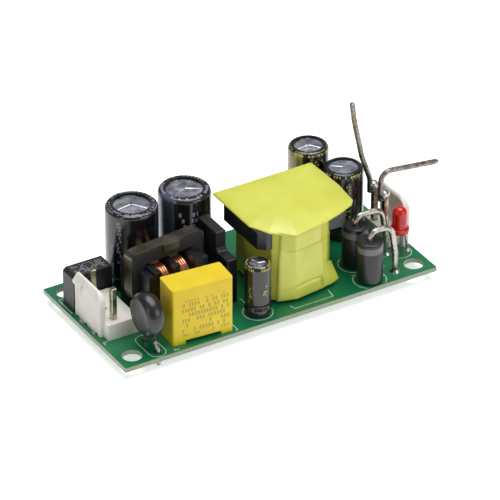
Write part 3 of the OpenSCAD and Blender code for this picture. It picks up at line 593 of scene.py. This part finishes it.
turn_pitch, coil_turns, wire_w = 0.64, 5, 0.6
coil_r, coil_x = 4.12, 2.24                         # centre line of the wire, coil from the rib
layer_d, layer_half = 7.6, 1.6                      # the layers under the outer turns
core_mid = middle_of("choke_core")[0]
coil_z = (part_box("choke_core")[0][2] - corner[2]) / MM + 1.35  # half a core leg up
tilt = math.radians(5.6)
along = np.array([math.cos(tilt), math.sin(tilt), 0])
aside = np.array([-math.sin(tilt), math.cos(tilt), 0])
t = np.linspace(0, 1, coil_turns * 40 + 1)[:, None]
coils = []
for side in (-1, 1):
    middle = np.array([core_mid[0], core_mid[1], coil_z]) + side * coil_x * along
    a = 2 * math.pi * coil_turns * t
    shift = (t - 0.5) * turn_pitch * (coil_turns - 1)
    line = middle + shift * along + coil_r * (np.cos(a) * aside + np.sin(a) * [0, 0, 1])
    coils.append(drawn("coil", line, wire_w, along, 12))
    under = middle + np.linspace(-layer_half, layer_half, 2)[:, None] * along
    coils.append(drawn("layer", under, layer_d, aside, 48))
enamel, shader = finish_of("enamelled_copper_wire", Metallic=0.85, Roughness=0.26,
                           Coat_Weight=0.6, Coat_Roughness=0.12)
patch = spread(enamel, ground(enamel, 900, 2).outputs["Fac"], 0.3, 0.7)
enamel.node_tree.links.new(blend_colour(enamel, patch, "#cb8352", "#ecb088"),
                           shader.inputs["Base Color"])
relief(enamel, shader, ground(enamel, 5000).outputs["Fac"], 0.01, 0.4)
fit(group("choke_copper", coils), enamel, "copper_wire", "choke_windings")


# ---- Electrolytic capacitors
# Aluminium cans in shrunk plastic sleeves. The sleeve rolls over the shoulder and leaves the
# top bare, where three scored lines let the can vent. Five are alike but for size and print.
def sleeve(name, node, opening):
    """The sleeve's profile: in under the foot, out past the crimp groove near the bottom, up the
    side, over a rounded shoulder to the opening, and back inside its own 0.16 mm wall."""
    mid, half = middle_of(node)
    r, h = half[0], 2 * half[2]
    outside = bends([(r - 0.9, 0.06), (r, 0.06), (r, 1.55), (r - 0.34, 2.3), (r, 3.05), (r, h),
                     (opening, h)], [0.28, 0.5, 0.45, 0.5, 0.9], 9)
    inside = bends([(opening, h - 0.13), (r - 0.16, h - 0.13), (r - 0.16, 3.2), (r - 0.5, 2.3),
                    (r - 0.16, 1.4), (r - 0.16, 0.2), (r - 0.9, 0.2)],
                   [0.72, 0.4, 0.4, 0.4, 0.15], 6)
    return turned(name, np.concatenate([outside, inside]), (mid[0], mid[1], 0), close=True)


def scored_top(name, node, opening, start):
    """The bare end of a can: three flats that fall from its middle to their outer edges, each
    the part of the disc nearest one of three directions, with a narrow groove between them."""
    mid, half = middle_of(node)
    h = 2 * half[2]
    r = np.concatenate([np.linspace(0, opening + 0.2, 22), [opening + 0.25]])[:, None]
    a = np.linspace(0, 2 * math.pi, 120, endpoint=False)[None]
    off = (a - start + math.pi / 3) % (2 * math.pi / 3) - math.pi / 3
    fall = 0.055 * r * np.cos(off)
    gap = r * np.sin(math.pi / 3 - np.abs(off))
    groove = 0.09 * np.exp(-(gap / 0.13) ** 2) * (r < opening - 0.25)
    z = h - 0.2 - fall - groove
    z[-1] = h - 1.2
    grid = np.stack([mid[0] + r * np.cos(a), mid[1] + r * np.sin(a), z + 0 * a], 2)
    return surface(name, grid, close_u=True)


def sleeve_print(name, base, ink_code, stripe, columns, ring, mark=(0.5, 0.8), share=0.6):
    """Shrunk PVC with its print: a plain stripe, columns of small marks up the side, and a ring
    of marks round the shoulder, each given as distances round and up the sleeve in millimetres."""
    made, top = finish_of(name, Roughness=0.2, IOR=1.54, Coat_Weight=0.3, Coat_Roughness=0.08)
    skin = add(made, "UVMap", {"uv_map": "skin"}).outputs["UV"]
    axes = add(made, "SeparateXYZ", Vector=skin)
    u, v = axes.outputs["X"], axes.outputs["Y"]
    lines = rows_of_marks(made, skin, *mark, share)
    area = between(made, v, *ring)
    for u0, u1, v0, v1 in columns:
        column = add(made, "Math", {"operation": "MULTIPLY"}, n0=between(made, u, u0, u1),
                     n1=between(made, v, v0, v1)).outputs[0]
        area = add(made, "Math", {"operation": "MAXIMUM"}, n0=area, n1=column).outputs[0]
    marks = add(made, "Math", {"operation": "MULTIPLY"}, n0=lines, n1=area).outputs[0]
    haze = spread(made, ground(made, 350, 2).outputs["Fac"], 0.3, 0.7)
    colour = blend_colour(made, haze, base, "#1b1c21")
    for u0, u1, v0, v1, code in stripe:
        patch = add(made, "Math", {"operation": "MULTIPLY"}, n0=between(made, u, u0, u1),
                    n1=between(made, v, v0, v1)).outputs[0]
        colour = blend_colour(made, patch, colour, code)
    made.node_tree.links.new(blend_colour(made, marks, colour, ink_code),
                             top.inputs["Base Color"])
    relief(made, top, haze, 0.03, 0.5)
    return made


def round_at(radius, degrees):
    """Distance round a sleeve to a direction, from the right-hand side and counterclockwise."""
    return math.radians(degrees % 360) * radius


spun = metal("drawn_aluminium_can", "#9a9ca8", "#c9cbd4", 0.33, 700, 0.02)
GREY, GOLD = "#8d909c", "#b7ad4e"
R = 5.25
bulk_a_print = sleeve_print(
    "sleeve_with_grey_print_a", "#111217", GREY,
    [(round_at(R, 300), round_at(R, 345), 2.5, 30, "#2c2f3c")],
    [(round_at(R, 206), round_at(R, 217), 5.5, 16.6), (round_at(R, 191), round_at(R, 198), 4, 13),
     (round_at(R, 150), round_at(R, 175), 6, 12)], (18.05, 18.95))
bulk_b_print = sleeve_print(
    "sleeve_with_grey_print_b", "#111217", GREY,
    [(round_at(R, 172), round_at(R, 218), 2.5, 30, "#4a4f60")],
    [(round_at(R, 226), round_at(R, 244), 8, 15.6), (round_at(R, 256), round_at(R, 270), 12, 15.8)],
    (18.05, 18.95), (0.9, 1.3), 0.7)
R = 4.07
out_back_print = sleeve_print(
    "sleeve_with_gold_print_back", "#101114", GOLD,
    [(round_at(R, 168), round_at(R, 222), 2.5, 17.2, "#8e9150"),
     (round_at(R, 196), round_at(R, 222), 17.2, 18.2, "#a9ad46")],
    [(round_at(R, 225), round_at(R, 300), 15.5, 17.0)], (17.4, 18.5), (0.7, 0.7), 0.6)
out_front_print = sleeve_print(
    "sleeve_with_gold_print_front", "#101114", GOLD, [],
    [(round_at(R, 246), round_at(R, 262), 5, 14.2), (round_at(R, 190), round_at(R, 205), 5, 14)],
    (15.2, 16.1), (0.6, 0.7), 0.6)
R = 2.65
small_print = sleeve_print(
    "sleeve_with_gold_print_small", "#202127", GOLD,
    [(round_at(R, 60), round_at(R, 110), 2, 30, "#6f7056")],
    [(round_at(R, 262), round_at(R, 280), 5.0, 8.2), (round_at(R, 198), round_at(R, 212), 4.5, 8)],
    (11.5, 12.5), (0.45, 0.6), 0.6)
cans = (("bulk_a", 3.7, bulk_a_print, 0.1, "black_sleeve"),
        ("bulk_b", 3.7, bulk_b_print, 0.5, "black_sleeve"),
        ("out_cap_back", 2.95, out_back_print, 2.2, "black_sleeve"),
        ("out_cap_front", 2.95, out_front_print, 1.4, "black_sleeve"),
        ("small_cap", 1.75, small_print, 0.8, "grey_sleeve"))
for name, opening, printed, start, slot in cans:
    fit(sleeve(name + "_shrunk_sleeve", name + "_sleeve", opening), printed, slot,
        name + "_sleeve")
    fit(scored_top(name + "_vented_top", name + "_sleeve", opening, start), spun,
        "can_aluminium", name + "_can")

# ---- Heat sink
# A black anodised aluminium plate with a low shoulder, standing on two tabs through the board.
anodised, shader = finish_of("black_anodised_aluminium", Roughness=0.42, IOR=1.5)
grain = add(anodised, "Mapping", Vector=add(anodised, "TexCoord").outputs["Object"],
            Scale=(600, 600, 9000)).outputs["Vector"]
drawn_lines = add(anodised, "TexNoise", Vector=grain, Scale=1.0, Detail=2).outputs["Fac"]
anodised.node_tree.links.new(blend_colour(anodised, spread(anodised, drawn_lines, 0.3, 0.7),
                                          "#111216", "#1d1e24"), shader.inputs["Base Color"])
relief(anodised, shader, drawn_lines, 0.01, 0.5)
fit(eased("sink_plate", "heat_sink_plate", 0.35, segments=4), anodised, "anodised_black",
    "sink_plate")

# ---- Transformer
# A flat ferrite core lies on a wound bobbin, and yellow polyester tape wraps them: a wide sheet
# over the top, one down the front, and its last corner left loose near the board.
tape, shader = finish_of("yellow_polyester_tape", Roughness=0.34, IOR=1.57, Coat_Weight=0.2,
                         Coat_Roughness=0.2)
soft_patch = spread(tape, ground(tape, 130, 3).outputs["Fac"], 0.3, 0.7)
tape.node_tree.links.new(blend_colour(tape, soft_patch, "#cfd14c", "#dbde5c"),
                         shader.inputs["Base Color"])
crinkle = ground(tape, 420, 2, 0.4).outputs["Fac"]
relief(tape, shader, crinkle, 0.12, 0.45)
core_black, shader = finish_of("black_core_ferrite", Roughness=0.4, IOR=1.6)
grit = spread(core_black, ground(core_black, 5000, 3).outputs["Fac"], 0.35, 0.65)
core_black.node_tree.links.new(blend_colour(core_black, grit, "#0c0d10", "#15161a"),
                               shader.inputs["Base Color"])
relief(core_black, shader, grit, 0.015, 0.5)
fit(eased("transformer_core", "transformer_ferrite", 0.25), core_black, "ferrite",
    "transformer_core")
fit(eased("transformer_winding", "transformer_wound_pack", 0.3), tape, "yellow_tape",
    "transformer_winding")
fit(eased("transformer_rails", "transformer_bobbin_rails", 0.12), moulded, "black_plastic",
    "transformer_rails")

pack = np.array([43.2, 13.05, 0.0])
top_z, hump = 16.03, 1.34


def loop(points, radius, steps=8):
    """A closed outline with each corner rounded by the same radius."""
    ring = [points[-1]] + list(points) + [points[0]]
    return bends(ring, [radius] * len(points), steps)[1:-1]


outline = loop([(-10.2, 10.5), (12.7, 10.6), (12.9, 0.8), (12.2, -5.4), (11.1, -6.8), (7.4, -8.4),
                (1.9, -10.2), (-4.3, -11.4), (-8.2, -7.5), (-10.2, -3.4)], 0.5)
heart = np.array([0.3, 0.3])
t = np.linspace(0, 1, 34)[:, None]
flat = heart + t[..., None] * (outline - heart)[None]
ripple = 0.05 * np.sin(1.1 * flat[..., 0] + 0.7 * flat[..., 1]) * np.sin(0.5 * flat[..., 1] + 0.4)
lift = (1.5 * np.clip((flat[..., 1] - 4) / 6, 0, 1)
        * np.sin(math.pi * np.clip((flat[..., 0] + 10.2) / 22.9, 0, 1)) ** 0.7)
rise = hump * (1 - t ** 3.2) + lift * t ** 3.2 + ripple * (1 - t)
sheet = surface("transformer_top_sheet", np.concatenate([flat, (top_z + rise)[..., None]], 2)
                + pack, close_u=True)
wall = sheet.modifiers.new("tape_thickness", "SOLIDIFY")
wall.thickness, wall.offset = 0.16 * MM, -1
fit(sheet, tape, "yellow_tape", "transformer_top_tape")

levels = np.array([0.62, 3.2, 9.0, 12.0, 12.6, 16.3])
edges = np.array([
    [(-7.0, -8.66), (-3.0, -9.75), (3.6, -8.95), (4.2, -8.64)],
    [(-6.9, -8.66), (-3.1, -9.85), (3.3, -9.1), (4.3, -8.64)],
    [(-6.8, -8.66), (-3.4, -10.1), (2.7, -9.35), (4.5, -8.64)],
    [(-6.65, -8.66), (-3.8, -10.5), (2.3, -9.6), (4.5, -8.64)],
    [(-6.6, -8.66), (-4.05, -10.95), (2.0, -9.95), (4.6, -8.64)],
    [(-6.5, -8.66), (-4.25, -11.25), (1.9, -10.1), (4.6, -8.64)]])
z = np.linspace(levels[0], levels[-1], 60)
stations = np.stack([np.stack([np.interp(z, levels, edges[:, k, c]) for c in (0, 1)], 1)
                     for k in range(4)], 1)
rows = np.stack([bends(row, (0.7, 0.7), 8) for row in stations])
u = np.linspace(0, 1, 80)
spread_u = np.stack([np.stack([np.interp(u, np.linspace(0, 1, rows.shape[1]), row[:, c])
                               for c in (0, 1)], 1) for row in rows])
crease = (0.14 * np.exp(-((u[None] - 0.5) / 0.012) ** 2) * (np.abs(z[:, None] - 7.5) < 4)
          + 0.1 * np.sin(5 * u[None] + 0.4 * z[:, None]) * np.exp(-((z[:, None] - 2.2) / 1.0) ** 2)
          + 0.12 * np.exp(-((z[:, None] - 2.9 - 1.2 * u[None]) / 0.2) ** 2))
spread_u[..., 1] += crease * np.sin(math.pi * u)[None] ** 0.5
front = surface("transformer_front_sheet",
                np.concatenate([spread_u, np.broadcast_to(z[:, None, None],
                                                          (*spread_u.shape[:2], 1))], 2) + pack)
wall = front.modifiers.new("tape_thickness", "SOLIDIFY")
wall.thickness, wall.offset = 0.1 * MM, 0
fit(front, tape, "yellow_tape", "transformer_front_tape")
s, t = np.meshgrid(np.linspace(0, 1, 20), np.linspace(0, 1, 20))
left_edge = np.stack([3.5 + 0 * t, -8.98 + 0 * t, 0.8 + 6.0 * t], 2)
right_edge = np.stack([7.65 - 1.6 * t, -7.85 + 0.5 * t, 0.85 + 4.4 * t], 2)
flap = left_edge * (1 - s[..., None]) + right_edge * s[..., None]
flap[..., 1] -= 0.28 * np.sin(math.pi * s) * (1 - 0.5 * t)
corner_flap = surface("transformer_loose_corner", flap + pack)
wall = corner_flap.modifiers.new("tape_thickness", "SOLIDIFY")
wall.thickness, wall.offset = 0.09 * MM, 0
fit(corner_flap, tape, "yellow_tape")

# ---- Output rectifiers
# Two axial diodes on end. The lower lead goes straight through the board; the upper one loops
# over and down to its own pad. A grey band marks the cathode.
epoxy, shader = finish_of("black_moulded_epoxy", Roughness=0.36, IOR=1.55)
height = add(epoxy, "SeparateXYZ", Vector=add(epoxy, "TexCoord").outputs["Object"]).outputs["Z"]
band = between(epoxy, height, corner[2] + 7.0 * MM, corner[2] + 8.35 * MM)
cloud = ground(epoxy, 700, 3).outputs["Fac"]
plain = blend_colour(epoxy, spread(epoxy, cloud, 0.3, 0.7), "#0e0f12", "#16171b")
epoxy.node_tree.links.new(blend_colour(epoxy, band, plain, "#6b6c70"), shader.inputs["Base Color"])
relief(epoxy, shader, cloud, 0.03, 0.6)
loops = (("front", (56.5, 2.85), (62.45, 3.0)), ("back", (57.0, 9.2), (64.3, 9.35)))
for name, foot, pad in loops:
    mid, half = middle_of(f"diode_{name}_body")
    r, h = half[0], 2 * half[2]
    profile = bends([(0.62, 0.0), (r - 0.05, 0.0), (r, h / 2), (r - 0.05, h), (0.62, h)],
                    (0.4, 30.0, 0.4), 9)
    fit(turned(f"diode_{name}_barrel", profile, (mid[0], mid[1], 0), 64), epoxy, "black_epoxy",
        f"diode_{name}_body")
    span = np.array(pad) - foot
    length = np.linalg.norm(span)
    way = np.array([*(span / length), 0])
    line = bends([(0, pin_end_z), (0, 10.9), (length - 1.1, 10.7), (length, 4),
                  (length, pin_end_z)], (1.45, 2.4, 2), 14)
    line = np.array([*foot, 0]) + line[:, :1] * way + line[:, 1:] * [0, 0, 1]
    fit(drawn(f"diode_{name}_loop", line, 1.2, np.cross(way, [0, 0, 1]), 20), tinned,
        "tinned_lead", f"diode_{name}_lead")

# ---- Output wires
# Two stiff bare copper wires, hot tinned and gone dull, held to the pin tips by beads of solder.
dull = metal("tinned_wire_gone_dull", "#5c544e", "#a39c97", 0.34, 1100)
pin_low, pin_high = (np.array(c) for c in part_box("output_pins"))
tip = (pin_high - corner) / MM
half_pin, wire_d = 0.57, 1.1
wire_x, wire_z = tip[0] - 3 * half_pin, tip[2] - wire_d
pins_y = ((pin_high[1] - corner[1]) / MM - half_pin, (pin_low[1] - corner[1]) / MM + half_pin)
routes = (("left", pins_y[0], [(0, 0), (0, 3.0), (-2.0, 8.7), (-3.85, 17.3), (-4.45, 21.6)],
           (5, 12, 12)),
          ("right", pins_y[1], [(0, 0), (0, 6.55), (13.3, 5.0)], (2.1,)))
for name, y, points, radii in routes:
    line = bends(points, radii, 14)
    last = line[-2] + (line[-1] - line[-2]) * np.array([[0.9], [0.97], [1.0]])
    line = np.concatenate([line[:-1], last])
    thin = np.concatenate([np.ones(len(line) - 2), [0.86, 0.55]])
    path = np.stack([wire_x + line[:, 0], y + 0 * line[:, 0], wire_z + line[:, 1]], 1)
    fit(drawn(f"output_wire_{name}_tinned", path, wire_d, (0, 1, 0), 20, thin), dull, "bare_wire",
        f"output_wire_{name}")
a, b = np.meshgrid(np.linspace(0, 2 * math.pi, 40, endpoint=False),
                   np.linspace(-math.pi / 2, math.pi / 2, 24))
beads = []
for k, y in enumerate(pins_y):
    r = 1.2 + 0.05 * np.sin(3 * a + k) * np.cos(b) + 0.05 * np.sin(2 * b + k)
    ball = np.stack([tip[0] - 0.92 + r * np.cos(a) * np.cos(b),
                     y + 0.96 * r * np.sin(a) * np.cos(b), tip[2] + r * np.sin(b)], 2)
    beads.append(surface("bead", ball, close_u=True))
fit(group("output_solder_beads", beads), solder, "solder_tin", "solder_beads")

# ---- Indicator lamp
# A 3 mm red lamp: a clear-red epoxy dome on a rim, held off the board on its two leads.
lamp_mid, lamp_half = middle_of("led_lens")
foot_z, tall = lamp_mid[2] - lamp_half[2], 2 * lamp_half[2]
red, shader = finish_of("red_tinted_epoxy", Roughness=0.12, IOR=1.53, Transmission_Weight=0.25,
                        Subsurface_Weight=0.35, Subsurface_Scale=0.002)
deep = spread(red, ground(red, 500, 2).outputs["Fac"], 0.3, 0.7)
red.node_tree.links.new(blend_colour(red, deep, "#d01008", "#e8261a"), shader.inputs["Base Color"])
dome = bends([(1.5, foot_z + 1.05), (1.5, foot_z + tall), (0, foot_z + tall)], [1.45], 16)
profile = np.concatenate([bends([(0, foot_z), (1.92, foot_z), (1.92, foot_z + 0.98),
                                 (1.5, foot_z + 1.0)], (0.12, 0.2), 5), dome])
fit(turned("lamp_dome", profile, (lamp_mid[0], lamp_mid[1], 0), 64), red, "red_lens", "led_lens")
legs = []
for s in (-1.27, 1.27):
    line = bends([(67.4 + s, pin_end_z), (67.4 + s, 1.2), (lamp_mid[0] + s, foot_z - 0.7),
                  (lamp_mid[0] + s, foot_z + 0.6)], (1.5, 1.5), 8)
    path = np.stack([line[:, 0], lamp_mid[1] + 0 * line[:, 0], line[:, 1]], 1)
    legs.append(drawn("leg", path, 0.5, (0, 1, 0), 12))
fit(group("lamp_legs", legs), tinned, "tinned_lead", "led_leads")

# ---- Underside parts
# Surface mounted: a bridge rectifier and a controller in black epoxy, and six small chips.
fit(eased("bridge_body", "bridge_rectifier_case", 0.12), moulded, "black_plastic", "bridge_body")
fit(eased("controller_body", "controller_case", 0.12), moulded, "black_plastic",
    "controller_body")
chip, shader = finish_of("fired_ceramic_chip", Roughness=0.4, IOR=1.6)
ends = add(chip, "TexNoise", Vector=add(chip, "TexCoord").outputs["Object"], Scale=900, Detail=2)
chip.node_tree.links.new(blend_colour(chip, spread(chip, ends.outputs["Fac"], 0.4, 0.6),
                                      "#5c4a38", "#6d5a45"), shader.inputs["Base Color"])
relief(chip, shader, ends.outputs["Fac"], 0.01, 0.4)
fit(eased("chip_parts", "small_ceramic_chips", 0.08), chip, "chip_ceramic", "chip_parts")
